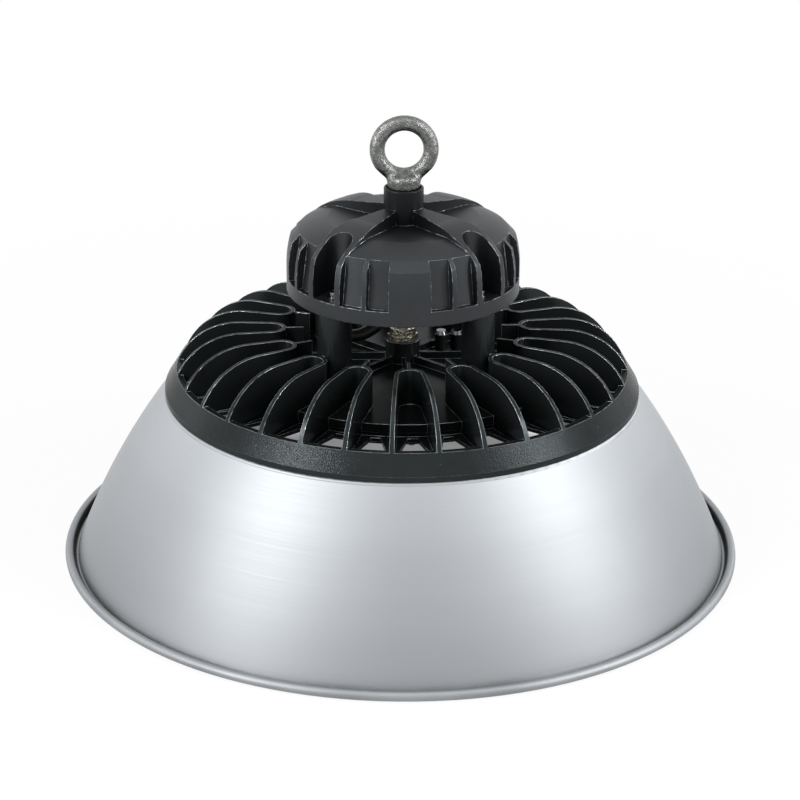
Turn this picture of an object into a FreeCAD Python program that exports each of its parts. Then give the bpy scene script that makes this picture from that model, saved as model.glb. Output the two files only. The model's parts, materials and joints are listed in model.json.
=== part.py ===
import FreeCAD, Part
import math
import os

# High bay light: a spun reflector under a die-cast fin heat sink, with an LED module in the
# heat sink's underside and a driver housing standing on four posts, hung from one eye bolt.
# Millimetres. Origin at the middle of the rim's underside, +Z up, -Y is the front.

V = FreeCAD.Vector
UP = V(0, 0, 1)
ORIGIN = V(0, 0, 0)
seam = 1.0                   # how far fused forms run into each other

# ---- driving dimensions ------------------------------------------------------------------

# reflector: one spun sheet
sheet = 1.2
reflector_height = 114.2
neck_radius = 159.6
foot_radius = 220.4
belly = 4.4                  # how far the cone bows outwards from a straight line
bead_radius = 3.1
bead_gap = 2.4               # groove between the foot of the cone and the rolled bead
flange_width = 13.0
neck_bend = 1.8
reflector_screws = 8
reflector_screw_grip = 9.0

# heat sink: one casting
lip_setback = 1.1            # ring's edge inside the neck's bend
lip_height = 3.8
ring_height = 16.6
ring_face_run = 8.0          # sloped face, from the lip in to the dark land
ring_land = 4.0
ring_wall = 3.0              # inner wall beside the hollow
ring_groove = 6.0            # hollow cast into the ring's underside
ring_skin = 3.5
fin_pairs = 16
fin_height = 43.6            # above the ring's underside
fin_tip = 2.4                # wall at the fin's top edge
fin_root = 3.6               # wall at the fin's foot, with casting draft
fin_foot_rise = 0.6          # underside of the fins above the carrier's skirt
hairpin_tip = 77.5
fin_shoulder = 108.0
fin_sink = 2.0               # how far each fin runs into the ring
fin_lean = 64.4              # degrees, slope of the fins' outer end where it leaves the ring
fin_fullness = 0.86          # share of the fins' drop over which they hold that slope
fin_ease = 0.315             # share of the curved run over which they stay nearly flat
web_plate = 2.5              # floor between the carrier and the ring, with a window in each gap
window_start = 2.5           # from the carrier to the window's narrow end
window_narrow = 6.4
carrier_radius = 114.0
carrier_step = 0.8
floor_height = 20.3          # top of the floor above the ring's underside
floor_wall = 5.0
skirt_depth = 11.7
skirt_wall = 8.5
web_width = 1.8
web_inner = 66.0
hub_radius = 11.5
hub_height = 14.8
cross_rib_count = 8
cross_rib_width = 2.4
cross_rib_height = 5.0
post_count = 4
post_radius = 10.9
post_height = 50.9
earth_boss_radius = 4.2
earth_boss_height = 11.5
earth_boss_y = 16.0
earth_boss_xs = (27.0, 37.5)  # the light's own earth and a spare
earth_screw_grip = 7.0

# LED module, under the heat sink's floor
pad_thickness = 0.4
board_thickness = 1.6
board_gap = 1.5              # between the board and the ledge round it
board_screw_inset = 8.0      # from the board's edge
board_screws = 8
board_screw_turn = 22.5
board_screw_grip = 3.2       # length of thread in the casting
chip_size = 3.0
chip_height = 0.7
chip_rings = 4
chip_first = 30.0            # radius of the inner ring of chips
chip_edge = 22.0             # from the outer ring of chips to the board's edge
chip_pitch = 16.0
cover_ledge = 4.0
cover_thickness = 3.0
cover_gap = 0.4
cover_gasket = 0.8
clamp_thickness = 2.0
clamp_screws = 8
clamp_screw_grip = 6.0
clamp_lap = 1.5              # how far the clamp ring laps inside the glass ledge

# driver housing: one casting
housing_radius = 76.8
base_band = 9.9
wall_bend = 19.0             # where the upright wall starts to lean in
wall_bow = 0.5
panel_top = 35.6             # where the panels' chamfer starts, above the housing's underside
panel_top_radius = 74.4
chamfer_rise = 5.8
chamfer_run = 5.6
slot_depth = 3.9             # at the foot of a slot; its floor leans in to the chamfer's upper edge
crease_inset = 26.8
crease_rise = 6.5
shoulder_bow = 0.9
dish_depth = 2.0
slot_spans = [(10.2, 21.0), (23.4, 34.9)]   # degrees from the middle of a lobe
pocket_half_width = 9.4
pocket_inset = 11.3          # from the wall in to the mounting screw
pocket_reach = 2.7           # from the screw in to the middle of the pocket's round end
arm_half_width_in = 4.5
arm_half_width_out = 12.7
arm_widest_inset = 24.8      # from the wall in to where the arm is full width
arm_rise = 16.1              # arm's top at the boss, above the chamfer's upper edge
arm_flat_inset = 40.8
arm_slope = 3.6
arm_fall = 4.0
boss_radius = 13.1
boss_rise = 11.7             # above the arms' top
boss_recess_radius = 11.7
boss_recess = 3.0
boss_edge = 0.9
housing_wall = 3.2
pocket_wall = 2.8
base_plate = 3.0
base_plate_gap = 0.1
base_plate_lap = 0.4         # how far the plate's seat is cut beyond the slots' floor
gasket_width = 1.6
gasket_depth = 1.5
base_screw_inset = 10.3
base_screws = 4
base_screw_boss = 4.6
base_boss_height = 12.0
base_screw_grip = 9.0

# eye bolt, M10
eye_inner = 12.5
eye_section = 5.0
collar_top_radius = 11.6
collar_bottom_radius = 10.5
collar_height = 8.6
shank_radius = 5.0
shank_length = 19.0
spring_washer_radius = 9.0
spring_washer = 2.4
eye_sink = 5.3               # how far the eye's ring dips into the collar
eye_neck = 3.0
collar_edge = 0.6
spring_washer_gap = 0.1
spring_washer_slit = 0.8
spring_washer_slant = 30.0

# glands, M16, and the cables that go through them
cable_radius = 4.3
cable_clearance = 0.8
gland_thread = 8.0
gland_flats = 18.0
gland_flange = 3.5
gland_nut_height = 10.0
gland_nut_radius = 9.0
gland_inner_thread = 7.4
gland_seal_length = 6.0
gland_seal_taper = 1.6
gland_lip = 1.2              # nut's top over the seal
gland_bore_gap = 0.4
gland_thread_length = 7.0
gland_spot_gap = 0.6
output_gland_inset = 26.8    # from the wall, towards -X
output_gland_y = 2.0
inlet_height = 24.0          # above the housing's underside

# screws
m3, m4, m5 = 1.5, 2.0, 2.5
screw_gap = 0.25             # radial clearance where a screw passes through
end_gap = 1.0                # how much deeper a threaded hole is than its screw
small_head, small_head_height = 2.8, 1.5
pan_head, pan_head_height = 4.0, 2.4
head_draft = 0.8             # share of its radius that a head keeps at its top
cap_head, cap_head_height, cap_socket = 4.2, 3.4, 4.0
mount_washer = 1.0
mount_washer_radius = 5.0
mount_thread_depth = 14.0

# driver electronics
spacer_height = 5.0
spacer_radius = 2.8
spacer_circle = 44.0
spacers = 4
circuit_board = 1.6
circuit_board_gap = 1.2
core_length, core_depth, core_height = 34.0, 15.0, 24.0
core_window_width = 7.0
core_window_height = 14.4
core_leg = 10.0              # middle leg, inside the winding
core_lift = 2.0              # bobbin's foot under the core
core_y = -6.0
winding_depth = 30.0
winding_gap = 0.3
winding_corner = 3.0
bulk_radius = 11.0
bulk_height = 27.0
bulk_places = [(-12.0, 22.0), (12.0, 22.0)]
choke_outer = 12.0
choke_inner = 5.0
choke_height = 12.0
choke_place = (-38.0, -4.0)
film_box = (18.0, 9.0, 15.0)
film_place = (22.0, -28.0)
terminal_box = (22.0, 9.0, 11.0)
terminal_place = (-11.0, 37.0)
terminal_ways = 3
terminal_pitch = 7.0
terminal_hole = 1.8
terminal_hole_depth = 6.0

# ---- places worked out from the sizes ----------------------------------------------------

ring_bottom = reflector_height
ring_radius = neck_radius - lip_setback
ring_top = ring_bottom + ring_height
land_outer = ring_radius - ring_face_run
ring_inner = land_outer - ring_land
flange_inner = neck_radius - flange_width
groove_inner = ring_inner + ring_wall
reflector_screw_circle = groove_inner + ring_groove / 2
fin_top = ring_bottom + fin_height
fin_half_angle = 90.0 / fin_pairs
floor_top = ring_bottom + floor_height
floor_under = floor_top - floor_wall
skirt_bottom = floor_top - skirt_depth
fin_foot = skirt_bottom + fin_foot_rise
recess_radius = carrier_radius - skirt_wall
hub_top = floor_top + hub_height
earth_boss_top = floor_top + earth_boss_height
post_top = floor_top + post_height

pad_under = floor_under - pad_thickness
board_under = pad_under - board_thickness
cover_radius = recess_radius - cover_gap
cover_under = skirt_bottom
cover_top = cover_under + cover_thickness
ledge_under = cover_top + cover_gasket
cavity_radius = recess_radius - cover_ledge
clamp_inner = cavity_radius - clamp_lap
clamp_outer = carrier_radius - carrier_step
clamp_circle = (recess_radius + clamp_outer) / 2
board_radius = cavity_radius - board_gap
board_screw_circle = board_radius - board_screw_inset
chip_ring_step = (board_radius - chip_edge - chip_first) / (chip_rings - 1)

housing_bottom = post_top
pocket_circle = housing_radius - pocket_inset
pocket_end = pocket_circle - pocket_reach
arm_widest = housing_radius - arm_widest_inset
arm_flat = housing_radius - arm_flat_inset
crease_radius = housing_radius - crease_inset
base_screw_circle = housing_radius - base_screw_inset
output_gland_x = output_gland_inset - housing_radius
band_top = housing_bottom + base_band
chamfer_bottom = housing_bottom + panel_top
chamfer_top = chamfer_bottom + chamfer_rise
chamfer_top_radius = panel_top_radius - chamfer_run
slot_floor = housing_radius - slot_depth
slot_lean = (slot_floor - chamfer_top_radius) / (chamfer_top - band_top)
crease_z = chamfer_top + crease_rise
dish_z = crease_z - dish_depth
arm_top = chamfer_top + arm_rise
boss_top = arm_top + boss_rise
recess_floor = boss_top - boss_recess
inside_radius = slot_floor - housing_wall
plate_top = housing_bottom + base_plate
plate_radius = slot_floor + base_plate_lap
board_z = plate_top + spacer_height
components_z = board_z + circuit_board
inlet_z = housing_bottom + inlet_height

collar_bottom = recess_floor + spring_washer
collar_top = collar_bottom + collar_height
eye_outer = eye_inner + 2 * eye_section
eye_z = collar_top + eye_outer - eye_sink


# ---- helpers -----------------------------------------------------------------------------

def polar(radius, angle, z=0.0):
    a = math.radians(angle)
    return V(radius * math.cos(a), radius * math.sin(a), z)


def around(shape, count, first=0.0):
    """Copies of a shape, evenly spaced about the vertical axis."""
    copies = []
    for i in range(count):
        turned = shape.copy()
        turned.rotate(ORIGIN, UP, first + i * 360.0 / count)
        copies.append(turned)
    return copies


def line(a, b):
    return Part.LineSegment(a, b).toShape()


def arc(a, middle, b):
    return Part.Arc(a, middle, b).toShape()


def path_edges(points):
    """Straight edges in the XZ plane through (radius, height) pairs."""
    ends = [V(r, 0, z) for r, z in points]
    return [line(a, b) for a, b in zip(ends, ends[1:])]


def spin(edges):
    """Closed outline in the XZ plane, turned about the vertical axis."""
    return Part.Face(Part.Wire(edges)).revolve(ORIGIN, UP, 360)


def turned(points):
    """Straight-sided closed outline of (radius, height) pairs, turned to a solid."""
    return spin(path_edges(points + points[:1]))


def disc(radius, bottom, top, x=0.0, y=0.0):
    return Part.makeCylinder(radius, top - bottom, V(x, y, bottom))


def tube(outer, inner, bottom, top):
    return disc(outer, bottom, top).cut(disc(inner, bottom, top))


def bow(a, b, depth):
    """Point that an arc from a to b passes through, bowed out to the right of its way."""
    chord = b.sub(a)
    side = V(-chord.z, 0, chord.x).normalize()
    if side.x < 0:
        side = side.negative()
    return a.add(chord.multiply(0.5)).add(side.multiply(depth))


def slot_plan(half_width, centre, reach, bottom, top):
    """Upright prism along +X with a round inner end."""
    corner = V(centre, -half_width, bottom)
    bar = Part.makeBox(reach - centre, 2 * half_width, top - bottom, corner)
    return bar.fuse(disc(half_width, bottom, top, centre))


def hexagon(flats, bottom, top):
    corners = [polar(flats / math.sqrt(3), 60.0 * i, bottom) for i in range(7)]
    return Part.Face(Part.makePolygon(corners)).extrude(V(0, 0, top - bottom))


def pan_screw(radius, length, head=pan_head, height=pan_head_height):
    """Screw with its head's seat at z=0, head above and shank below."""
    return turned([
        (0, -length),
        (radius, -length),
        (radius, 0),
        (head, 0),
        (head * head_draft, height),
        (0, height),
    ])


def cap_screw(radius, length):
    """Low socket-head screw, its seat at z=0."""
    screw = disc(cap_head, 0, cap_head_height).fuse(disc(radius, -length, 0)).removeSplitter()
    return screw.cut(hexagon(cap_socket, cap_head_height / 2, cap_head_height))


def placed(shape, position, turn_axis=V(1, 0, 0), turn=0.0):
    moved = shape.copy()
    moved.rotate(ORIGIN, turn_axis, turn)
    moved.translate(position)
    return moved


def group(shapes):
    return Part.makeCompound(shapes)


# ---- reflector ---------------------------------------------------------------------------

def reflector():
    bead_centre = V(foot_radius + bead_gap + bead_radius, 0, bead_radius)
    top_out = V(neck_radius, 0, ring_bottom - neck_bend)
    foot_out = V(foot_radius, 0, sheet)
    cone_out = bow(top_out, foot_out, belly)
    chord = foot_out.sub(top_out).normalize()
    inward = V(chord.z, 0, -chord.x).multiply(sheet)
    top_in = top_out.add(inward)
    foot_in = V(foot_out.x + inward.x, 0, 0)
    cone_in = cone_out.add(inward)
    knee = math.sqrt(0.5)
    bend_start = V(neck_radius - neck_bend, 0, ring_bottom)
    bend_mid = V(bend_start.x + neck_bend * knee, 0, top_out.z + neck_bend * knee)
    under_start = V(top_in.x - neck_bend / 2, 0, ring_bottom - sheet)

    def on_bead(radius, angle):
        a = math.radians(angle)
        return bead_centre.add(V(radius * math.cos(a), 0, radius * math.sin(a)))

    curl_end = 205.0
    curl_mid = (curl_end - 90.0) / 2
    inner_curl = bead_radius - sheet
    edges = [
        line(V(flange_inner, 0, ring_bottom), bend_start),
        arc(bend_start, bend_mid, top_out),
        arc(top_out, cone_out, foot_out),
        line(foot_out, on_bead(inner_curl, -90)),
        arc(on_bead(inner_curl, -90), on_bead(inner_curl, curl_mid), on_bead(inner_curl, curl_end)),
        line(on_bead(inner_curl, curl_end), on_bead(bead_radius, curl_end)),
        arc(on_bead(bead_radius, curl_end), on_bead(bead_radius, curl_mid), on_bead(bead_radius, -90)),
        line(on_bead(bead_radius, -90), foot_in),
        arc(foot_in, cone_in, top_in),
        line(top_in, under_start),
        line(under_start, V(flange_inner, 0, ring_bottom - sheet)),
        line(V(flange_inner, 0, ring_bottom - sheet), V(flange_inner, 0, ring_bottom)),
    ]
    shell = spin(edges)
    hole = disc(m4 + screw_gap, ring_bottom - 2 * sheet, ring_bottom + sheet, reflector_screw_circle)
    return shell.cut(group(around(hole, reflector_screws, fin_half_angle)))


# ---- heat sink ---------------------------------------------------------------------------

def hairpin_outline(wall, z):
    """Outline of one hairpin at height z: two fins along radii, joined by a round inner tip."""
    a = math.radians(fin_half_angle)
    middle = hairpin_tip + fin_tip / 2
    centre = middle / (1 - math.sin(a))
    bend = centre * math.sin(a)
    reach = land_outer + fin_sink

    def side(radius_out, along, sign):
        if along is None:
            return V(centre - radius_out * math.sin(a), sign * radius_out * math.cos(a), z)
        offset = radius_out - bend
        x = along * math.cos(a) - offset * math.sin(a)
        y = along * math.sin(a) + offset * math.cos(a)
        return V(x, sign * y, z)

    outer = bend + wall / 2
    inner = bend - wall / 2
    edges = [
        line(side(outer, reach, 1), side(outer, None, 1)),
        arc(side(outer, None, 1), V(centre - outer, 0, z), side(outer, None, -1)),
        line(side(outer, None, -1), side(outer, reach, -1)),
        line(side(outer, reach, -1), side(inner, reach, -1)),
        line(side(inner, reach, -1), side(inner, None, -1)),
        arc(side(inner, None, -1), V(centre - inner, 0, z), side(inner, None, 1)),
        line(side(inner, None, 1), side(inner, reach, 1)),
        line(side(inner, reach, 1), side(outer, reach, 1)),
    ]
    return Part.Wire(edges)


def fin_envelope():
    """Turned space that the fins fill: flat top, then a full curve that leans down to the ring."""
    lean = math.radians(fin_lean)
    drop = (fin_top - ring_top) * fin_fullness
    run = (land_outer - fin_shoulder) * fin_ease
    shoulder = V(fin_shoulder, 0, fin_top)
    foot = V(land_outer, 0, ring_top)
    leaning = V(-math.cos(lean), 0, math.sin(lean)).multiply(drop)
    curve = Part.BezierCurve()
    curve.setPoles([foot, foot.add(leaning), shoulder.add(V(run, 0, 0)), shoulder])
    low = floor_top - seam
    inside = carrier_radius - skirt_wall / 2
    edges = [curve.toShape()] + path_edges([
        (fin_shoulder, fin_top),
        (web_inner, fin_top),
        (web_inner, low),
        (inside, low),
        (inside, fin_foot),
        (land_outer, fin_foot),
        (land_outer, ring_top),
    ])
    return spin(edges)


def fins():
    draft = (fin_root - fin_tip) / fin_height
    low, high = fin_foot - seam, fin_top + seam
    wires = [hairpin_outline(fin_tip + draft * (fin_top - z), z) for z in (low, high)]
    hairpin = Part.makeLoft(wires, True, True)
    web_length = hairpin_tip + fin_tip / 2 - web_inner
    web = Part.makeBox(web_length, web_width, high - low, V(web_inner, -web_width / 2, low))
    shape = hairpin.fuse(web).common(fin_envelope())
    return around(shape, fin_pairs)


def window_plate():
    """Thin floor between the carrier and the ring, open in a tapered window in each gap."""
    plate = tube(ring_inner + seam, carrier_radius - seam, fin_foot, fin_foot + web_plate)
    wide = 2 * ring_inner * math.sin(math.radians(fin_half_angle)) - fin_root
    near = carrier_radius + window_start
    outline = [
        V(near, -window_narrow / 2, fin_foot),
        V(ring_inner, -wide / 2, fin_foot),
        V(ring_inner, wide / 2, fin_foot),
        V(near, window_narrow / 2, fin_foot),
    ]
    window = Part.Face(Part.makePolygon(outline + outline[:1])).extrude(V(0, 0, web_plate))
    return plate.cut(group(around(window, 2 * fin_pairs)))


def ring():
    return turned([
        (ring_inner, ring_bottom),
        (ring_radius, ring_bottom),
        (ring_radius, ring_bottom + lip_height),
        (land_outer, ring_top),
        (ring_inner, ring_top),
    ])


def ring_face_z(radius):
    """Height of the ring's sloped outer face."""
    share = (radius - land_outer) / ring_face_run
    return ring_top - share * (ring_height - lip_height)


def ring_hollow():
    """Groove cored out of the ring from below, with a boss left round each screw."""
    outer = groove_inner + ring_groove
    groove = turned([
        (groove_inner, ring_bottom),
        (outer, ring_bottom),
        (outer, ring_face_z(outer) - ring_skin),
        (land_outer, ring_top - ring_skin),
        (groove_inner, ring_top - ring_skin),
    ])
    boss = disc(ring_groove / 2 + 1.0, ring_bottom, ring_top, reflector_screw_circle)
    return groove.cut(group(around(boss, reflector_screws, fin_half_angle)))


def carrier():
    """Floor plate and skirt that hold the LED module."""
    half = (floor_top + skirt_bottom) / 2
    return turned([
        (0, floor_under),
        (cavity_radius, floor_under),
        (cavity_radius, ledge_under),
        (recess_radius, ledge_under),
        (recess_radius, skirt_bottom),
        (carrier_radius - carrier_step, skirt_bottom),
        (carrier_radius - carrier_step, half),
        (carrier_radius, half),
        (carrier_radius, floor_top),
        (0, floor_top),
    ])


def heat_sink():
    sunk = floor_top - seam
    pieces = [ring(), window_plate()]
    pieces += fins()
    pieces.append(disc(hub_radius, sunk, hub_top))
    post = disc(post_radius, sunk, post_top, pocket_circle)
    pieces += around(post, post_count, 45)
    rib_corner = V(0, -cross_rib_width / 2, sunk)
    rib = Part.makeBox(web_inner + seam, cross_rib_width, cross_rib_height + seam, rib_corner)
    pieces += around(rib, cross_rib_count)
    pieces += [disc(earth_boss_radius, sunk, earth_boss_top, x, earth_boss_y) for x in earth_boss_xs]
    body = carrier().multiFuse(pieces)

    holes = [ring_hollow()]
    grip_top = ring_bottom + reflector_screw_grip + end_gap
    reflector_hole = disc(m4, ring_bottom, grip_top, reflector_screw_circle)
    holes += around(reflector_hole, reflector_screws, fin_half_angle)
    mount_hole = disc(m5, post_top - mount_thread_depth - end_gap, post_top, pocket_circle)
    holes += around(mount_hole, post_count, 45)
    board_hole = disc(m3, floor_under, floor_under + board_screw_grip + end_gap, board_screw_circle)
    holes += around(board_hole, board_screws, board_screw_turn)
    clamp_hole = disc(m3, skirt_bottom, skirt_bottom + clamp_screw_grip + end_gap, clamp_circle)
    holes += around(clamp_hole, clamp_screws)
    holes.append(disc(cable_radius + gland_bore_gap, floor_under, hub_top))
    holes.append(disc(gland_thread, hub_top - gland_thread_length - end_gap, hub_top))
    earth_low = earth_boss_top - earth_screw_grip - end_gap
    holes += [disc(m4, earth_low, earth_boss_top, x, earth_boss_y) for x in earth_boss_xs]
    return body.cut(group(holes)).removeSplitter()


def earth_screws():
    screw = pan_screw(m4, earth_screw_grip)
    return group([placed(screw, V(x, earth_boss_y, earth_boss_top)) for x in earth_boss_xs])


# ---- LED module --------------------------------------------------------------------------

def board_holes(bottom, top, radius):
    holes = around(disc(radius, bottom, top, board_screw_circle), board_screws, board_screw_turn)
    return group(holes)


def thermal_pad():
    pad = tube(board_radius, hub_radius, pad_under, floor_under)
    return pad.cut(board_holes(pad_under, floor_under, m3 + screw_gap))


def led_board():
    return disc(board_radius, board_under, pad_under).cut(board_holes(board_under, pad_under, m3 + screw_gap))


def led_chips():
    chips = []
    half = chip_size / 2
    for i in range(chip_rings):
        radius = chip_first + i * chip_ring_step
        corner = V(radius - half, -half, board_under - chip_height)
        chip = Part.makeBox(chip_size, chip_size, chip_height, corner)
        chips += around(chip, round(2 * math.pi * radius / chip_pitch))
    return group(chips)


def led_board_screws():
    screw = pan_screw(m3, board_thickness + pad_thickness + board_screw_grip, small_head, small_head_height)
    screw = placed(screw, V(board_screw_circle, 0, board_under), turn=180)
    return group(around(screw, board_screws, board_screw_turn))


def cover_glass():
    return disc(cover_radius, cover_under, cover_top)


def cover_gasket_ring():
    return tube(cover_radius, cavity_radius, cover_top, ledge_under)


def clamp_ring():
    plate = tube(clamp_outer, clamp_inner, cover_under - clamp_thickness, cover_under)
    hole = disc(m3 + screw_gap, cover_under - clamp_thickness, cover_under, clamp_circle)
    return plate.cut(group(around(hole, clamp_screws)))


def clamp_ring_screws():
    screw = pan_screw(m3, clamp_thickness + clamp_screw_grip, small_head, small_head_height)
    screw = placed(screw, V(clamp_circle, 0, cover_under - clamp_thickness), turn=180)
    return group(around(screw, clamp_screws))


def reflector_screw_set():
    screw = pan_screw(m4, sheet + reflector_screw_grip)
    screw = placed(screw, V(reflector_screw_circle, 0, ring_bottom - sheet), turn=180)
    return group(around(screw, reflector_screws, fin_half_angle))


# ---- driver housing ----------------------------------------------------------------------

def housing_skin():
    """Turned outside of the housing: band, panels, chamfer, shoulder and dished top."""
    bend = V(housing_radius, 0, housing_bottom + wall_bend)
    panel = V(panel_top_radius, 0, chamfer_bottom)
    chamfer = V(chamfer_top_radius, 0, chamfer_top)
    crease = V(crease_radius, 0, crease_z)
    edges = path_edges([(0, housing_bottom), (housing_radius, housing_bottom), (bend.x, bend.z)])
    edges.append(arc(bend, bow(bend, panel, wall_bow), panel))
    edges.append(line(panel, chamfer))
    edges.append(arc(chamfer, bow(chamfer, crease, shoulder_bow), crease))
    edges += path_edges([(crease.x, crease.z), (0, dish_z), (0, housing_bottom)])
    return spin(edges)


def arm_envelope():
    """Turned space under the arms' top: nearly flat, then rounding down to the panels."""
    start = V(arm_flat, 0, arm_top - arm_slope)
    end = V(panel_top_radius, 0, chamfer_bottom)
    middle = V((start.x + end.x) / 2, 0, start.z - arm_fall)
    edges = path_edges([(0, arm_top), (start.x, start.z)])
    edges.append(arc(start, middle, end))
    edges += path_edges([(end.x, end.z), (0, end.z), (0, arm_top)])
    return spin(edges)


def arm_plan():
    """One arm seen from above, along +X: narrow at the boss, wide round the pocket."""
    side = [
        (0, arm_half_width_in),
        (boss_radius, arm_half_width_in),
        (arm_widest, arm_half_width_out),
        (housing_radius, arm_half_width_out),
    ]
    low = chamfer_bottom - seam
    corners = [V(x, -y, low) for x, y in side] + [V(x, y, low) for x, y in reversed(side)]
    return Part.Face(Part.makePolygon(corners + corners[:1])).extrude(V(0, 0, arm_top - low))


def slot_core():
    """Turned solid that a slot stops at: upright at the foot, leaning in to the chamfer's edge."""
    above = chamfer_top + seam
    return turned([
        (0, band_top),
        (slot_floor, band_top),
        (slot_floor - slot_lean * (above - band_top), above),
        (0, above),
    ])


def panel_slots():
    """Shallow slots between the upright panels and ribs of the four lobes."""
    slots = []
    outer = housing_radius + seam
    core = slot_core()
    for low, high in slot_spans:
        for start in (low, -high):
            wedge = Part.makeCylinder(outer, chamfer_top - band_top, V(0, 0, band_top), UP, high - low)
            wedge.rotate(ORIGIN, UP, start)
            slots += around(wedge.cut(core), post_count)
    return slots


def housing_cavity():
    """Room for the electronics: the slots' floor moved in by the wall, less pockets and bosses."""
    ceiling = chamfer_top - housing_wall
    neck = boss_radius + seam
    room = turned([
        (0, plate_top),
        (inside_radius, plate_top),
        (inside_radius, band_top),
        (inside_radius - slot_lean * (ceiling - band_top), ceiling),
        (crease_radius, crease_z - housing_wall),
        (neck, dish_z - housing_wall),
        (neck, dish_z - 2 * housing_wall),
        (0, dish_z - 2 * housing_wall),
    ])
    pocket = slot_plan(pocket_half_width + pocket_wall, pocket_end, housing_radius, plate_top, boss_top)
    keep = around(pocket, post_count, 45)
    boss = disc(base_screw_boss, plate_top, plate_top + base_boss_height, base_screw_circle)
    keep += around(boss, base_screws)
    return room.cut(group(keep))


def gasket_ring():
    middle = (inside_radius + plate_radius) / 2
    half = gasket_width / 2
    return tube(middle + half, middle - half, plate_top, plate_top + gasket_depth)


def inlet_spot():
    """Radius and distance of the flat spot under the inlet gland, just inside the round panel."""
    radius = gland_flats / math.sqrt(3) + gland_spot_gap
    return radius, math.sqrt(panel_top_radius ** 2 - radius ** 2)


def driver_housing():
    arms = around(arm_plan(), post_count, 45)
    arms = [arm.common(arm_envelope()) for arm in arms]
    boss = disc(boss_radius, chamfer_bottom, boss_top)
    rim = [e for e in boss.Edges if e.BoundBox.ZMin > boss_top - 0.01]
    boss = boss.makeFillet(boss_edge, rim)
    body = housing_skin().multiFuse(arms + [boss])
    cuts = panel_slots()
    pocket = slot_plan(pocket_half_width, pocket_end, housing_radius + seam, band_top, boss_top)
    cuts += around(pocket, post_count, 45)
    cuts.append(housing_cavity())
    cuts.append(disc(plate_radius + base_plate_gap, housing_bottom, plate_top))
    cuts.append(gasket_ring())
    cuts += around(disc(m5 + screw_gap, housing_bottom, band_top, pocket_circle), post_count, 45)
    base_hole = disc(m4, plate_top, plate_top + base_screw_grip + end_gap, base_screw_circle)
    cuts += around(base_hole, base_screws)
    cuts.append(disc(boss_recess_radius, recess_floor, boss_top))
    cuts.append(disc(shank_radius, collar_bottom - shank_length - end_gap, recess_floor))
    spot_radius, spot = inlet_spot()
    hole_start = inside_radius - slot_depth - housing_wall
    cuts.append(placed(disc(gland_thread, 0, spot - hole_start), V(0, hole_start, inlet_z), turn=-90))
    cuts.append(placed(disc(spot_radius, 0, slot_depth), V(0, spot, inlet_z), turn=-90))
    for cut in cuts:
        body = body.cut(cut)
    return body.removeSplitter()


def driver_base_plate():
    plate = disc(plate_radius, housing_bottom, plate_top)
    holes = around(disc(m5 + screw_gap, housing_bottom, plate_top, pocket_circle), post_count, 45)
    holes += around(disc(m4 + screw_gap, housing_bottom, plate_top, base_screw_circle), base_screws)
    holes += around(disc(m3, housing_bottom, plate_top, spacer_circle), spacers, 45)
    holes.append(disc(gland_thread, housing_bottom, plate_top, output_gland_x, output_gland_y))
    return plate.cut(group(holes))


def driver_base_screws():
    screw = pan_screw(m4, base_plate + base_screw_grip)
    screw = placed(screw, V(base_screw_circle, 0, housing_bottom), turn=180)
    return group(around(screw, base_screws))


def driver_mounting_screws():
    seat = band_top + mount_washer
    screw = placed(cap_screw(m5, seat - post_top + mount_thread_depth), V(pocket_circle, 0, seat))
    return group(around(screw, post_count, 45))


def driver_mounting_washers():
    washer = tube(mount_washer_radius, m5 + screw_gap, band_top, band_top + mount_washer)
    return group(around(placed(washer, V(pocket_circle, 0, 0)), post_count, 45))


# ---- driver electronics ------------------------------------------------------------------

def driver_circuit_board():
    board = disc(inside_radius - circuit_board_gap, board_z, components_z)
    pocket = pocket_half_width + pocket_wall + circuit_board_gap
    cuts = around(slot_plan(pocket, pocket_end, housing_radius, board_z, components_z), post_count, 45)
    boss = base_screw_boss + circuit_board_gap
    cuts += around(disc(boss, board_z, components_z, base_screw_circle), base_screws)
    cuts += around(disc(m3 + screw_gap, board_z, components_z, spacer_circle), spacers, 45)
    return board.cut(group(cuts))


def board_spacers():
    spacer = tube(spacer_radius, m3 + screw_gap, plate_top, board_z)
    return group(around(placed(spacer, V(spacer_circle, 0, 0)), spacers, 45))


def circuit_board_screws():
    screw = pan_screw(m3, circuit_board + spacer_height + base_plate, small_head, small_head_height)
    return group(around(placed(screw, V(spacer_circle, 0, components_z)), spacers, 45))


def core_windows(depth, gap):
    """The two windows of the transformer's core, as blocks of a given depth."""
    width = core_window_width - gap
    low = components_z + core_lift + (core_height - core_window_height) / 2
    blocks = []
    for x in (core_leg / 2, -core_leg / 2 - width):
        blocks.append(Part.makeBox(width, depth, core_window_height, V(x, core_y - depth / 2, low)))
    return blocks


def transformer_core():
    corner = V(-core_length / 2, core_y - core_depth / 2, components_z + core_lift)
    core = Part.makeBox(core_length, core_depth, core_height, corner)
    return core.cut(group(core_windows(core_depth, 0)))


def transformer_winding():
    """Wound bobbin: passes through the core's two windows and round its middle leg."""
    sides = core_windows(winding_depth, winding_gap)
    low = sides[0].BoundBox.ZMin
    width = core_leg + 2 * (core_window_width - winding_gap)
    corner = V(-width / 2, core_y - winding_depth / 2, low)
    outer = Part.makeBox(width, winding_depth, core_window_height, corner)
    upright = [e for e in outer.Edges if e.BoundBox.ZLength > core_window_height / 2]
    outer = outer.makeFillet(winding_corner, upright)
    leg_corner = V(-core_leg / 2, core_y - core_depth / 2, low)
    return outer.cut(Part.makeBox(core_leg, core_depth, core_window_height, leg_corner))


def bulk_capacitors():
    can = disc(bulk_radius, components_z, components_z + bulk_height)
    return group([placed(can, V(x, y, 0)) for x, y in bulk_places])


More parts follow.
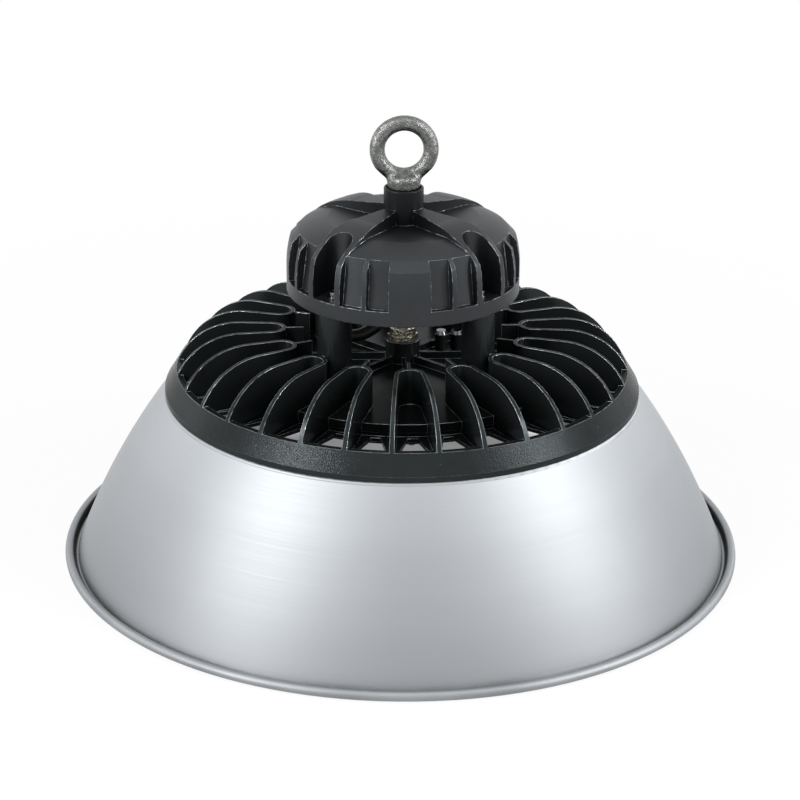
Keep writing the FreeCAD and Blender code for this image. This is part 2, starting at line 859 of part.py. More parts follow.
def filter_choke():
    ring_core = tube(choke_outer, choke_inner, 0, choke_height)
    return placed(ring_core, V(choke_place[0], choke_place[1], components_z))


def film_capacitor():
    return Part.makeBox(*film_box, V(film_place[0], film_place[1], components_z))


def input_terminals():
    x, y = terminal_place
    block = Part.makeBox(*terminal_box, V(x, y, components_z))
    top = components_z + terminal_box[2]
    first = x + (terminal_box[0] - (terminal_ways - 1) * terminal_pitch) / 2
    middle = y + terminal_box[1] / 2
    low = top - terminal_hole_depth
    for i in range(terminal_ways):
        block = block.cut(disc(terminal_hole, low, top, first + i * terminal_pitch, middle))
    return block


# ---- eye bolt ----------------------------------------------------------------------------

def eye_bolt():
    ring_shape = Part.makeTorus(eye_inner + eye_section, eye_section, V(0, 0, eye_z), V(0, 1, 0))
    shank_end = collar_bottom - shank_length
    neck_top = collar_top + eye_neck
    collar = turned([
        (0, shank_end),
        (shank_radius - collar_edge, shank_end),
        (shank_radius, shank_end + collar_edge),
        (shank_radius, collar_bottom),
        (collar_bottom_radius, collar_bottom),
        (collar_top_radius, collar_top - collar_edge),
        (collar_top_radius - collar_edge, collar_top),
        (eye_section - collar_edge, neck_top),
        (0, neck_top),
    ])
    hole = placed(disc(eye_inner, -2 * eye_section, 2 * eye_section), V(0, 0, eye_z), turn=90)
    return ring_shape.fuse(collar.cut(hole)).removeSplitter()


def spring_washer_ring():
    """Split washer under the collar, its slit aslant."""
    washer = tube(spring_washer_radius, shank_radius + spring_washer_gap, recess_floor, collar_bottom)
    slit = Part.makeBox(spring_washer_radius, spring_washer_slit, 2 * spring_washer, V(0, 0, -spring_washer))
    slit.rotate(ORIGIN, V(1, 0, 0), spring_washer_slant)
    slit.translate(V(0, 0, (recess_floor + collar_bottom) / 2))
    return washer.cut(slit)


# ---- glands and supply cable -------------------------------------------------------------

def gland():
    """Body, dome nut and rubber seal of one gland, standing on z=0 and pointing up."""
    inner = cable_radius + gland_bore_gap
    top = gland_flange + gland_nut_height
    seal_top = top - gland_lip
    thread_top = seal_top - gland_seal_length
    seal_shoulder = seal_top - gland_seal_taper
    seal_neck = gland_inner_thread - gland_seal_taper
    body = hexagon(gland_flats, 0, gland_flange)
    body = body.fuse(disc(gland_thread, -gland_thread_length, 0))
    body = body.fuse(disc(gland_inner_thread, gland_flange, thread_top))
    body = body.cut(disc(inner, -gland_thread_length, thread_top)).removeSplitter()
    nut = turned([
        (gland_inner_thread, gland_flange),
        (gland_nut_radius, gland_flange),
        (gland_nut_radius, gland_flange + gland_nut_height / 2),
        (seal_neck, top),
        (inner, top),
        (inner, seal_top),
        (seal_neck, seal_top),
        (gland_inner_thread, seal_shoulder),
    ])
    seal = turned([
        (cable_radius, thread_top),
        (gland_inner_thread, thread_top),
        (gland_inner_thread, seal_shoulder),
        (seal_neck, seal_top),
        (cable_radius, seal_top),
    ])
    return body, nut, seal


def glands():
    """The three glands by name: hub, driver output (pointing down) and power inlet (rear)."""
    places = {
        "hub_gland": (V(0, 0, hub_top), 0),
        "output_gland": (V(output_gland_x, output_gland_y, housing_bottom), 180),
        "inlet_gland": (V(0, inlet_spot()[1], inlet_z), -90),
    }
    made = {}
    for name, (position, turn) in places.items():
        for piece, shape in zip(("body", "nut", "seal"), gland()):
            made[name + "_" + piece] = placed(shape, position, turn=turn)
    return made


def tube_run(start, end):
    """Straight length of cable."""
    return Part.makeCylinder(cable_radius, end.sub(start).Length, start, end.sub(start))


def tube_bend(start, corner, end):
    """Round bend of cable, tangent to the runs before and after it, and its radius."""
    back = start.sub(corner)
    ahead = end.sub(corner)
    half_turn = (math.pi - back.getAngle(ahead)) / 2
    radius = back.Length / math.tan(half_turn)
    axis = ahead.cross(back)
    inward = V(back).add(ahead).normalize()
    centre = corner.add(inward.multiply(radius / math.cos(half_turn)))
    section = Part.Face(Part.Wire(Part.makeCircle(cable_radius, start, back)))
    bend = section.revolve(centre, axis, math.degrees(2 * half_turn))
    return bend, radius, 2 * half_turn


def supply_cable():
    """From the LED board up through the hub, over behind it and up into the driver's base."""
    route = [
        V(0, 0, pad_under),
        V(0, 0, housing_bottom - cable_radius - cable_clearance),
        V(4, 24, floor_top + 40),
        V(-8, 24, floor_top + 22),
        V(-24, 16, floor_top + 11),
        V(-40, 8, floor_top + 13),
        V(output_gland_x, output_gland_y, floor_top + 25),
        V(output_gland_x, output_gland_y, plate_top + cable_clearance),
    ]
    pieces = []
    length = 0.0
    last = route[0]
    for before, corner, after in zip(route, route[1:], route[2:]):
        back = before.sub(corner)
        ahead = after.sub(corner)
        tangent = 0.45 * min(back.Length, ahead.Length)
        start = corner.add(back.normalize().multiply(tangent))
        end = corner.add(ahead.normalize().multiply(tangent))
        bend, radius, turn = tube_bend(start, corner, end)
        pieces += [tube_run(last, start), bend]
        length += start.sub(last).Length + radius * turn
        print("cable bend radius %.1f" % radius)
        last = end
    pieces.append(tube_run(last, route[-1]))
    length += route[-1].sub(last).Length
    cable = pieces[0].multiFuse(pieces[1:]).removeSplitter()
    share = cable.Volume / (math.pi * cable_radius ** 2 * length)
    print("cable length %.1f, volume share %.4f" % (length, share))
    return cable


# ---- build -------------------------------------------------------------------------------

nodes = {
    "reflector": reflector,
    "reflector_screws": reflector_screw_set,
    "heat_sink": heat_sink,
    "earth_screws": earth_screws,
    "thermal_pad": thermal_pad,
    "led_board": led_board,
    "led_chips": led_chips,
    "led_board_screws": led_board_screws,
    "cover_glass": cover_glass,
    "cover_gasket": cover_gasket_ring,
    "cover_clamp_ring": clamp_ring,
    "cover_clamp_screws": clamp_ring_screws,
    "driver_housing": driver_housing,
    "driver_base_plate": driver_base_plate,
    "driver_base_gasket": gasket_ring,
    "driver_base_screws": driver_base_screws,
    "driver_mounting_screws": driver_mounting_screws,
    "driver_mounting_washers": driver_mounting_washers,
    "driver_circuit_board": driver_circuit_board,
    "circuit_board_spacers": board_spacers,
    "circuit_board_screws": circuit_board_screws,
    "transformer_core": transformer_core,
    "transformer_winding": transformer_winding,
    "bulk_capacitors": bulk_capacitors,
    "filter_choke": filter_choke,
    "film_capacitor": film_capacitor,
    "input_terminals": input_terminals,
    "eye_bolt": eye_bolt,
    "eye_bolt_spring_washer": spring_washer_ring,
    "led_supply_cable": supply_cable,
}

os.makedirs("parts", exist_ok=True)
shapes = {name: build() for name, build in nodes.items()}
shapes.update(glands())
for name, shape in shapes.items():
    shape.exportStep("parts/" + name + ".step")
    print("%-26s solids %3d valid %s volume %.0f" % (name, len(shape.Solids), shape.isValid(), shape.Volume))
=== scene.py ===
import math

import bmesh
import bpy
import numpy as np
from mathutils import Matrix, Vector
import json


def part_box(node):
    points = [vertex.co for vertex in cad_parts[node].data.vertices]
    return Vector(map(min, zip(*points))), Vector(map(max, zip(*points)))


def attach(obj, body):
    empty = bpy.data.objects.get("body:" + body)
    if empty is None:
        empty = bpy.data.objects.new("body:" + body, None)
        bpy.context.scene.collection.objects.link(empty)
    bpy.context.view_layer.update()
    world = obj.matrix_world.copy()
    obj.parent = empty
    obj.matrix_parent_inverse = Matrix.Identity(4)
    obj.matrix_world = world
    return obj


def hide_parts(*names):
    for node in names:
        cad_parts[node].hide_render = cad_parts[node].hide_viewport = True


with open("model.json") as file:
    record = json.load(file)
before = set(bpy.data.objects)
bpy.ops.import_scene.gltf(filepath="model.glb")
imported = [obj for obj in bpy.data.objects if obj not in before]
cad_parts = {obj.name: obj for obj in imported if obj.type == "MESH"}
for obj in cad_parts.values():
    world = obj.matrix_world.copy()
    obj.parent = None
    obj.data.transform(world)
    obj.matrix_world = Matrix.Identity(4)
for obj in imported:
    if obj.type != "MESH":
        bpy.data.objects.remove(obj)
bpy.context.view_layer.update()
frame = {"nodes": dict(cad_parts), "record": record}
record = frame["record"]
nodes = frame["nodes"]
mm = 0.001
print("frame loaded:", len(nodes), "nodes")


# A socket of a node tree. Arithmetic on it adds Math nodes.
class Wire:
    def __init__(self, tree, socket=None):
        self.tree = tree
        self.socket = socket

    # Adds a node: its settings first, then what its sockets hold or are linked to
    def node(self, kind, settings=None, values=None, output=0):
        made = self.tree.nodes.new("ShaderNode" + kind)
        for name, value in (settings or {}).items():
            setattr(made, name, value)
        for name, value in (values or {}).items():
            if isinstance(value, Wire):
                self.tree.links.new(value.socket, made.inputs[name])
            else:
                made.inputs[name].default_value = value
        return Wire(self.tree, made.outputs[output] if made.outputs else None)

    def maths(self, operation, *values):
        return self.node("Math", {"operation": operation}, dict(enumerate(values)))

    def __add__(self, other):
        return self.maths("ADD", self, other)

    def __sub__(self, other):
        return self.maths("SUBTRACT", self, other)

    def __mul__(self, other):
        return self.maths("MULTIPLY", self, other)

    def __truediv__(self, other):
        return self.maths("DIVIDE", self, other)

    def __pow__(self, other):
        return self.maths("POWER", self, other)

    def __rsub__(self, other):
        return self.maths("SUBTRACT", other, self)

    __radd__ = __add__
    __rmul__ = __mul__

    # 0 at low and 1 at high, with a smooth step between them
    def step(self, low, high):
        return self.node("MapRange", {"interpolation_type": "SMOOTHSTEP"},
                         {"Value": self, "From Min": low, "From Max": high})


# How the castings' and metals' edges are found: rays at each point, and the band of the
# normal's turn over which an open face becomes an edge
edgeMask = {"samples": 6, "band": (0.02, 0.18)}


# One material in the making: object coordinates in metres, its patterns and its shader
class Finish(Wire):
    def __init__(self, name, constants=None):
        self.material = bpy.data.materials.new(name)
        self.material.use_nodes = True
        super().__init__(self.material.node_tree)
        self.shader = self.tree.nodes["Principled BSDF"]
        for socket, value in (constants or {}).items():
            self.shader.inputs[socket].default_value = value
        self.place = self.node("TexCoord", output="Object")

    def noise(self, scale, detail, rough, vector=None):
        return self.node("TexNoise", values={
            "Vector": vector or self.place, "Scale": scale, "Detail": detail, "Roughness": rough})

    # Blends two colours, each three numbers or a wire. A Mix node's colours are sockets 6 and 7.
    def mix(self, factor, low, high):
        low, high = (shade if isinstance(shade, Wire) else (*shade, 1.0) for shade in (low, high))
        return self.node("Mix", {"data_type": "RGBA"}, {0: factor, 6: low, 7: high}, output=2)

    def scaled(self, color, share):
        return self.node("VectorMath", {"operation": "SCALE"}, {0: color, "Scale": share})

    # Distance from the light's axis
    def axisDistance(self):
        flat = self.node("VectorMath", {"operation": "MULTIPLY"}, {0: self.place, 1: (1, 1, 0)})
        return self.node("VectorMath", {"operation": "LENGTH"}, {0: flat}, output="Value")

    # 0 on open faces and 1 on edges sharper than the radius, and the normal that rounds them
    def edge(self, radius):
        rounded = self.node("Bevel", {"samples": edgeMask["samples"]}, {"Radius": radius})
        flat = self.node("NewGeometry", output="Normal")
        same = self.node("VectorMath", {"operation": "DOT_PRODUCT"}, {0: rounded, 1: flat},
                         output="Value")
        return (1.0 - same).step(*edgeMask["band"]), rounded

    def bump(self, height, distance, normal=None):
        values = {"Height": height, "Distance": distance}
        if normal:
            values["Normal"] = normal
        return self.node("Bump", values=values)

    def feed(self, color, roughness, normal):
        for socket, wire in (("Base Color", color), ("Roughness", roughness), ("Normal", normal)):
            self.tree.links.new(wire.socket, self.shader.inputs[socket])
        return self.material


def grey(value, tint=(1.0, 1.0, 1.0)):
    return tuple(value * part for part in tint)


# The darkest and the lightest of a colour that drifts by a share of itself
def drifted(color, share):
    return grey(1 - share, color), tuple(min(1.0, part * (1 + share)) for part in color)


# The sum of the wires, each times its weight
def weighed(weights, *wires):
    parts = [wire * weight for wire, weight in zip(wires, weights)]
    return sum(parts[1:], parts[0])


# A roughness that swings about its middle value with two noises
def swinging(roughness, weights, first, second):
    return roughness + weighed(weights, first - 0.5, second - 0.5)


# Spun sheet: brushed in rings by the spinning tool, with faint broad bands, painted shade on the
# rolled bead and a painted shadow in the groove beside it.
# lines, bands, grain, cloud: noises, as scale, detail and roughness.
# lift: a painted reflection, darker at the foot and lighter towards the neck: the share of its
# shade that the sheet has at the foot, and what it gains up to the neck.
# beadFade: the parts of the bead's height between which the sheet's look turns into the bead's.
# gutter: the radii where the painted shadow in the groove starts, is full, begins to fade and ends.
spunSheet = {
    "shade": 0.37, "tint": (0.96, 1.0, 1.045), "drift": 0.12, "roughness": 0.57,
    "lines": (900.0, 3.0, 0.6), "bands": (24.0, 2.0, 0.5),
    "grain": (1500.0, 2.0, 0.5), "cloud": (14.0, 3.0, 0.5),
    "toneWeights": (0.5, 0.3, 0.2), "roughWeights": (0.08, 0.06),
    "reliefWeights": (0.7, 0.6), "lineDepth": 0.02 * mm,
    "lift": (0.86, 0.2), "paintedShadingPower": 1.6, "neckTop": 112 * mm,
    "beadTop": 5.8 * mm, "beadFade": (1.1, 0.85), "beadShade": 0.31, "beadDrift": 0.15,
    "beadWeights": (0.3, 0.7), "beadBand": (0.35, 0.65),
    "gutter": (221.0 * mm, 222.0 * mm, 223.4 * mm, 224.8 * mm), "grooveShadowShade": 0.035}


def spunAluminium(sheet):
    f = Finish("spunAluminium", {"Metallic": 1.0})
    height = f.node("SeparateXYZ", values={0: f.place}, output="Z")
    reach = f.axisDistance()
    ringed = f.node("CombineXYZ", values={"X": reach, "Z": height})
    lines = f.noise(*sheet["lines"], ringed)
    bands = f.noise(*sheet["bands"], ringed)
    grain = f.noise(*sheet["grain"])
    cloud = f.noise(*sheet["cloud"])
    tone = f.mix(weighed(sheet["toneWeights"], bands, cloud, grain),
                 *drifted(grey(sheet["shade"], sheet["tint"]), sheet["drift"]))
    low, paintedShadingRise = sheet["lift"]
    # painted shade at the foot and painted light towards the neck, standing in for the reflections
    # there
    tone = f.scaled(tone, low + paintedShadingRise * (height / sheet["neckTop"]) ** sheet["paintedShadingPower"])
    # the bead's darker colour is painted shade, standing in for the floor reflected in its
    # underside
    shadedBead = f.mix(weighed(sheet["beadWeights"], grain, cloud).step(*sheet["beadBand"]),
                 *drifted(grey(sheet["beadShade"], sheet["tint"]), sheet["beadDrift"]))
    rolled = (height / sheet["beadTop"]).step(*sheet["beadFade"])
    # painted shadow in the groove between the cone's foot and the bead, drawn as a dark colour
    grooveShadowStart, grooveShadowIn, grooveShadowOut, grooveShadowEnd = sheet["gutter"]
    grooveShadow = rolled * reach.step(grooveShadowStart, grooveShadowIn) * reach.step(grooveShadowEnd, grooveShadowOut)
    shadedBead = f.mix(grooveShadow, shadedBead, grey(sheet["grooveShadowShade"]))
    relief = weighed(sheet["reliefWeights"], lines, grain)
    return f.feed(color=f.mix(rolled, tone, shadedBead),
                  roughness=swinging(sheet["roughness"], sheet["roughWeights"], lines, grain),
                  normal=f.bump(relief, sheet["lineDepth"]))


# Painted castings: a pebbled skin that dims at a grazing look, with thin lighter lines on the edges
# that are partly rubbed paint and partly a painted highlight of the rounded edges. worn: the band
# of scuffing over which the skin turns into these lines.
# The axis shade: painted shade near the axis, darker round the boss; from the first to the second
# distance off the axis the skin's shade goes from this share of itself to all of it. pebbled: in
# the same way, where the skin turns from fine to coarse.
castingSkin = {"drift": 0.4, "cloud": (38.0, 3.0, 0.5), "scuff": (260.0, 3.0, 0.65),
               "skinWeights": (0.6, 0.4), "wearWeights": (0.7, 0.3), "roughWeights": (0.12, 0.15)}
blackPaint = {
    "name": "blackCasting", "shade": 0.027, "tint": (0.86, 1.0, 1.05), "metallic": 0.52,
    "sheen": 0.25, "grazing": 0.38, "roughness": 0.21,
    "pebble": (1300.0, 1.0, 0.6), "pebbleDepth": 0.2 * mm, "pebbled": (147 * mm, 151 * mm, 0.27),
    "edge": 0.42 * mm, "rubbedAndGlint": 0.88, "worn": (0.34, 0.54), "paintedAxisShade": (0, 1 * mm, 1.0)}
greyPaint = {
    "name": "greyCasting", "shade": 0.047, "tint": (0.93, 1.0, 1.07), "metallic": 0.85,
    "sheen": 0.2, "grazing": 0.95, "roughness": 0.4,
    "pebble": (1700.0, 1.0, 0.6), "pebbleDepth": 0.05 * mm, "pebbled": (0, 1 * mm, 1.0),
    "edge": 0.6 * mm, "rubbedAndGlint": 0.62, "worn": (0.43, 0.64), "paintedAxisShade": (14 * mm, 62 * mm, 0.42)}


def casting(paint):
    f = Finish(paint["name"], {"Metallic": paint["metallic"], "Specular IOR Level": paint["sheen"],
                               "Specular Tint": (*grey(paint["grazing"]), 1)})
    edge, rounded = f.edge(paint["edge"])
    pebble = f.noise(*paint["pebble"])
    cloud = f.noise(*castingSkin["cloud"])
    scuff = f.noise(*castingSkin["scuff"])
    reach = f.axisDistance()

    # From a share near the axis to 1 far from it
    def outwards(near, far, share):
        return share + reach.step(near, far) * (1 - share)

    skin = f.mix(weighed(castingSkin["skinWeights"], cloud, pebble),
                 *drifted(grey(paint["shade"], paint["tint"]), castingSkin["drift"]))
    # painted shade: the skin is darker near the axis
    skin = f.scaled(skin, outwards(*paint["paintedAxisShade"]))
    # lighter edges: partly rubbed paint, partly a painted highlight standing in for glints on
    # rounded edges
    edgeWearAndGlint = edge * weighed(castingSkin["wearWeights"], scuff, cloud).step(*paint["worn"])
    roughness = swinging(paint["roughness"], castingSkin["roughWeights"], cloud, pebble)
    relief = pebble * outwards(*paint["pebbled"])
    return f.feed(color=f.mix(edgeWearAndGlint, skin, grey(paint["rubbedAndGlint"], paint["tint"])),
                  roughness=roughness, normal=f.bump(relief, paint["pebbleDepth"], rounded))


# Plated, galvanised and bare metals: grain lifts the skin, and the hollows between grains are
# darker by the stain. crust: the band of grain over which a hollow turns into skin.
metalSkin = {"edge": 0.3 * mm, "edgeShare": 0.5, "edgeGain": 1.3, "edgeMost": 0.95,
             "patchShare": 0.22, "mottleWeights": (0.8, 0.3), "roughWeights": (0.2, 0.15),
             "grainDetail": (3.0, 0.6), "patchDetail": (2.0, 0.5)}
metals = {
    "galvanised_steel": {
        "name": "galvanisedSteel", "shade": 0.3, "tint": (0.97, 1.0, 0.96), "roughness": 0.23,
        "grain": 1500.0, "depth": 0.3 * mm, "stain": 0.62, "crust": (0.47, 0.7)},
    "zinc_steel": {
        "name": "zincSteel", "shade": 0.22, "tint": (0.98, 1.0, 1.02), "roughness": 0.2,
        "grain": 1800.0, "depth": 0.02 * mm, "stain": 0.25, "crust": (0.42, 0.8)},
    "nickel_brass": {
        "name": "nickelBrass", "shade": 0.95, "tint": (1.0, 0.92, 0.74), "roughness": 0.14,
        "grain": 800.0, "depth": 0.4 * mm, "stain": 0.72, "crust": (0.42, 0.8)},
    "bare_aluminium": {
        "name": "bareAluminium", "shade": 0.7, "tint": (1.0, 1.0, 1.0), "roughness": 0.34,
        "grain": 1200.0, "depth": 0.02 * mm, "stain": 0.25, "crust": (0.42, 0.8)},
}


def metal(look):
    f = Finish(look["name"], {"Metallic": 1.0})
    edge, rounded = f.edge(metalSkin["edge"])
    grain = f.noise(look["grain"], *metalSkin["grainDetail"])
    patches = f.noise(look["grain"] * metalSkin["patchShare"], *metalSkin["patchDetail"])
    mottle = weighed(metalSkin["mottleWeights"], grain, patches).step(*look["crust"])
    skin = f.mix(mottle, grey(look["shade"] * (1 - look["stain"]), look["tint"]),
                 grey(look["shade"], look["tint"]))
    edgeShade = min(look["shade"] * metalSkin["edgeGain"], metalSkin["edgeMost"])
    return f.feed(color=f.mix(edge * metalSkin["edgeShare"], skin, grey(edgeShade, look["tint"])),
                  roughness=swinging(look["roughness"], metalSkin["roughWeights"], grain, patches),
                  normal=f.bump(grain, look["depth"], rounded))


# Rubbers, plastics, boards and tapes: one colour that drifts a little, with a fine skin
plainSkin = {"grain": (900.0, 2.0, 0.5), "cloud": (54.0, 3.0, 0.5), "depth": 0.02 * mm,
             "drift": 0.18, "toneWeights": (0.7, 0.3), "roughWeights": (0.12, 0.08)}
plains = {
    "black_nylon": {"name": "blackNylon", "color": (0.02, 0.02, 0.021), "roughness": 0.5},
    "seal_rubber": {"name": "sealRubber", "color": (0.018, 0.018, 0.019), "roughness": 0.7},
    "white_silicone": {"name": "whiteSilicone", "color": (0.72, 0.72, 0.70), "roughness": 0.55},
    "cable_jacket": {"name": "cableJacket", "color": (0.016, 0.016, 0.017), "roughness": 0.42},
    "white_board": {"name": "whiteBoard", "color": (0.78, 0.79, 0.77), "roughness": 0.35,
                    "drift": 0.05},
    "led_phosphor": {"name": "ledPhosphor", "color": (0.85, 0.72, 0.18), "roughness": 0.4},
    "circuit_board": {"name": "circuitBoard", "color": (0.02, 0.13, 0.05), "roughness": 0.3},
    "ferrite": {"name": "ferrite", "color": (0.06, 0.058, 0.055), "roughness": 0.6,
                "depth": 0.06 * mm},
    "winding_tape": {"name": "windingTape", "color": (0.72, 0.52, 0.08), "roughness": 0.32},
    "capacitor_sleeve": {"name": "capacitorSleeve", "color": (0.03, 0.04, 0.09),
                         "roughness": 0.35},
    "film_box": {"name": "filmBox", "color": (0.55, 0.08, 0.06), "roughness": 0.38},
    "terminal_green": {"name": "terminalGreen", "color": (0.05, 0.32, 0.10), "roughness": 0.4},
}


def plain(look):
    look = {**plainSkin, **look}
    f = Finish(look["name"])
    grain = f.noise(*look["grain"])
    cloud = f.noise(*look["cloud"])
    return f.feed(color=f.mix(weighed(look["toneWeights"], cloud, grain),
                              *drifted(look["color"], look["drift"])),
                  roughness=swinging(look["roughness"], look["roughWeights"], cloud, grain),
                  normal=f.bump(grain, look["depth"]))


# Clear toughened glass, faintly smeared, with a little dust
coverPane = {"name": "coverGlass", "bending": 1.5, "smear": (60.0, 3.0, 0.5),
             "dust": (2400.0, 1.0, 0.5), "dustDepth": 0.002 * mm, "roughness": (0.02, 0.05),
             "tints": ((0.94, 0.97, 0.96), (0.99, 1.0, 1.0))}


def coverGlass(pane):
    f = Finish(pane["name"], {"Transmission Weight": 1.0, "IOR": pane["bending"]})
    smear = f.noise(*pane["smear"])
    clean, smeared = pane["roughness"]
    return f.feed(color=f.mix(smear, *pane["tints"]), roughness=clean + smear * smeared,
                  normal=f.bump(f.noise(*pane["dust"]), pane["dustDepth"]))


finishes = {"spun_aluminium": spunAluminium(spunSheet), "black_casting": casting(blackPaint),
            "grey_casting": casting(greyPaint), "cover_glass": coverGlass(coverPane)}
finishes.update((slot, metal(look)) for slot, look in metals.items())
finishes.update((slot, plain(look)) for slot, look in plains.items())
slotOf = {part["node"]: part["material_slot"] for part in record["subparts"]}
for name, node in nodes.items():
    node.data.materials.clear()
    node.data.materials.append(finishes[slotOf[name]])
print("materials made:", len(finishes))


def linked(name, data):
    made = bpy.data.objects.new(name, data)
    bpy.context.scene.collection.objects.link(made)
    return made


# A new mesh with the object's modifiers applied. The object is removed.
def applied(worked):
    bpy.context.view_layer.update()
    shaped = worked.evaluated_get(bpy.context.evaluated_depsgraph_get())
    mesh = bpy.data.meshes.new_from_object(shaped)
    bpy.data.objects.remove(worked)
    return mesh


# The eye bolt is a forging: soft fillets, and a scaly skin from its hot dip.
# fillet: between these heights above the collar's foot the corner of collar and ring is filled.
eyeForging = {"merge": 0.01 * mm, "voxel": 0.42 * mm, "fillet": (2.5 * mm, 12 * mm),
              "filletPasses": 180, "softPasses": 14, "softening": 0.5, "scaleSize": 0.9 * mm,
              "scaleDepth": 1, "scaleHeight": 0.26 * mm, "scaleMiddle": 0.55}


# A merged copy of the solid's mesh, remeshed evenly
def eyeBlank():
    blank = nodes["eye_bolt"].data.copy()
    shape = bmesh.new()
    shape.from_mesh(blank)
    bmesh.ops.remove_doubles(shape, verts=shape.verts, dist=eyeForging["merge"])
    shape.to_mesh(blank)
    shape.free()
    worked = linked("eyeBlank", blank)
    remesh = worked.modifiers.new("remesh", "REMESH")
    remesh.mode = "VOXEL"
    remesh.voxel_size = eyeForging["voxel"]
    remesh.use_smooth_shade = True
    return linked("eyeBlank", applied(worked))


# The blank's corner is smoothed into a fillet, the whole is softened, and scales lift it
def forgedEye():
    worked = eyeBlank()
    places = np.empty(len(worked.data.vertices) * 3)
    worked.data.vertices.foreach_get("co", places)
    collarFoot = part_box("driver_housing")[1].z
    above = places.reshape(-1, 3)[:, 2] - collarFoot
    low, high = eyeForging["fillet"]
    corner = worked.vertex_groups.new(name="corner")
    corner.add(np.flatnonzero((above > low) & (above < high)).tolist(), 1.0, "REPLACE")
    for passes, group in ((eyeForging["filletPasses"], "corner"), (eyeForging["softPasses"], "")):
        soften = worked.modifiers.new("soften", "SMOOTH")
        soften.factor = eyeForging["softening"]
        soften.iterations = passes
        soften.vertex_group = group
    scales = bpy.data.textures.new("scales", "CLOUDS")
    scales.noise_scale = eyeForging["scaleSize"]
    scales.noise_depth = eyeForging["scaleDepth"]
    lift = worked.modifiers.new("lift", "DISPLACE")
    lift.texture = scales
    lift.texture_coords = "LOCAL"
    lift.strength = eyeForging["scaleHeight"]
    lift.mid_level = eyeForging["scaleMiddle"]
    eye = linked("forgedEye", applied(worked))
    eye.data.materials.clear()
    eye.data.materials.append(finishes["galvanised_steel"])
    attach(eye, "root")
    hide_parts("eye_bolt")


forgedEye()
print("eye bolt forged")


# The supply cable: out of the hub gland, round and up into the driver's gland
supplyCable = {"diameter": 8.6 * mm, "length": 170.8 * mm, "order": 3, "sides": 6, "steps": 24,
               "route": ((0, 0, 129.1), (0, 0, 180.3), (4, 24, 174.5), (-8, 24, 156.5),
                         (-24, 16, 145.5), (-40, 8, 147.5), (-50, 2, 159.5), (-50, 2, 189.2))}
route = np.array(supplyCable["route"]) * mm
line = bpy.data.curves.new("supplyCable", "CURVE")
line.dimensions = "3D"
line.bevel_depth = supplyCable["diameter"] / 2
line.bevel_resolution = supplyCable["sides"]
line.use_fill_caps = True
spline = line.splines.new("NURBS")
spline.points.add(len(route) - 1)
spline.points.foreach_set("co", np.c_[route, np.ones(len(route))].ravel())
spline.order_u = supplyCable["order"]
spline.use_endpoint_u = True
spline.resolution_u = supplyCable["steps"]
cable = linked("supplyCable", line)
line.materials.append(finishes["cable_jacket"])
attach(cable, "root")
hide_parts("led_supply_cable")
print("supply cable laid")


# The camera stands off the light's front and is turned about its axis by the azimuth
cameraPlace = {"azimuth": -3.3, "reach": 1568.8 * mm, "height": 750.3 * mm, "aside": -1.27 * mm,
               "pitch": 22.38, "roll": 0.5, "lens": 113.38, "sensor": 36.0, "clip": (0.05, 100.0)}
lens = bpy.data.cameras.new("camera")
lens.lens = cameraPlace["lens"]
lens.sensor_width = cameraPlace["sensor"]
lens.clip_start, lens.clip_end = cameraPlace["clip"]
camera = linked("camera", lens)
turn = Matrix.Rotation(math.radians(cameraPlace["azimuth"]), 4, "Z")
tilt = Matrix.Rotation(math.radians(90 - cameraPlace["pitch"]), 4, "X")
roll = Matrix.Rotation(math.radians(cameraPlace["roll"]), 4, "Z")
start = Vector((cameraPlace["aside"], -cameraPlace["reach"], cameraPlace["height"]))
camera.matrix_world = Matrix.Translation(turn @ start) @ turn @ tilt @ roll
bpy.context.scene.camera = camera
print("camera placed")


# Floor and world look plain white to the rays that see a background, and light things plainly.
# shown: the share of plain white on the floor under the shade, round it and far from it; the low
# share under the shade is a painted shadow.
# underShade, farFloor: the radii between which one share turns into the next.
# From below the floor is clear, so that the light's underside can be looked at.
stageLook = {"white": (1, 1, 1, 1), "floorShade": 0.95, "floorSize": 9.0, "worldLight": 0.3,
             "shown": (0.2, 0.88, 1.0), "underShade": (0.19, 0.232), "farFloor": (0.3, 0.9)}


# The wiring of a material or world, with its nodes cleared
def cleared(owner):
    owner.use_nodes = True
    owner.node_tree.nodes.clear()
    return Wire(owner.node_tree)


# 1 for the rays that see a background, 0 for the ones that light things
def seenShare(wire):
    seen, *others = (wire.node("LightPath", output=kind)
                     for kind in ("Is Camera Ray", "Is Glossy Ray", "Is Transmission Ray"))
    for other in others:
        seen = wire.maths("MAXIMUM", seen, other)
    return seen


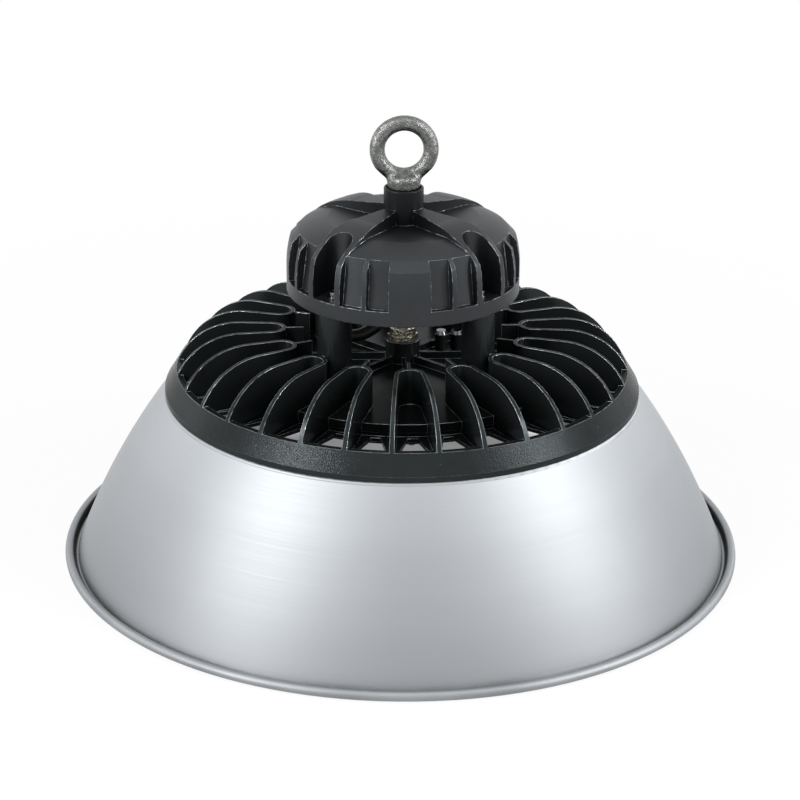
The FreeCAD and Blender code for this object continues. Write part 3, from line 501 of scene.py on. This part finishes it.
half = stageLook["floorSize"] / 2
floorMesh = bpy.data.meshes.new("floor")
floorMesh.from_pydata([(-half, -half, 0), (half, -half, 0), (half, half, 0), (-half, half, 0)],
                      [], [(0, 1, 2, 3)])
floor = linked("floor", floorMesh)
floorPaint = bpy.data.materials.new("paleFloor")
wire = cleared(floorPaint)
reach = wire.node("VectorMath", {"operation": "LENGTH"},
                  {0: wire.node("TexCoord", output="Object")}, output="Value")
paintedShadowShare, nearShare, farShare = stageLook["shown"]
# painted shadow: under the shade the floor shows less plain white and more of its shaded matt
share = paintedShadowShare + reach.step(*stageLook["underShade"]) * (nearShare - paintedShadowShare)
share = share + reach.step(*stageLook["farFloor"]) * (farShare - nearShare)
matt = wire.node("BsdfDiffuse", values={"Color": (*grey(stageLook["floorShade"]), 1)})
glow = wire.node("Emission", values={"Color": stageLook["white"], "Strength": 1.0})
fromAbove = wire.node("MixShader", values={0: seenShare(wire) * share, 1: matt, 2: glow})
below = wire.node("NewGeometry", output="Backfacing")
oneSided = wire.node("MixShader", values={0: below, 1: fromAbove,
                                          2: wire.node("BsdfTransparent")})
wire.node("OutputMaterial", values={"Surface": oneSided})
floorMesh.materials.append(floorPaint)

world = bpy.data.worlds.new("studio")
bpy.context.scene.world = world
wire = cleared(world)
ambient, backdrop = (
    wire.node("Background", values={"Color": stageLook["white"], "Strength": strength})
    for strength in (stageLook["worldLight"], 1.0))
studio = wire.node("MixShader", values={0: seenShare(wire), 1: ambient, 2: backdrop})
wire.node("OutputWorld", values={"Surface": studio})
print("floor and world made")


# Azimuth from the front, elevation, distance, width, height and watts of each lamp
lamps = {
    "left": (-57, 29, 1.7, 0.2, 1.25, 20),
    "right": (65, 29, 1.7, 0.18, 1.25, 19),
    "top": (0, 80, 1.7, 1.0, 1.0, 3),
    "rearLeft": (-122, 24, 1.8, 0.5, 1.1, 4),
    "rearRight": (124, 24, 1.8, 0.5, 1.1, 4.5),
}
lampTarget = Vector((0, 0, 0.12))
for name, (azimuth, elevation, distance, width, height, watts) in lamps.items():
    lamp = bpy.data.lights.new(name, "AREA")
    lamp.shape = "RECTANGLE"
    lamp.size = width
    lamp.size_y = height
    lamp.energy = watts
    around, up = math.radians(azimuth), math.radians(elevation)
    away = Vector((math.sin(around) * math.cos(up), -math.cos(around) * math.cos(up), math.sin(up)))
    holder = linked(name, lamp)
    holder.location = lampTarget + away * distance
    holder.rotation_euler = away.to_track_quat("Z", "Y").to_euler()
bpy.context.scene.view_settings.view_transform = "Standard"
print("lamps set:", len(lamps))
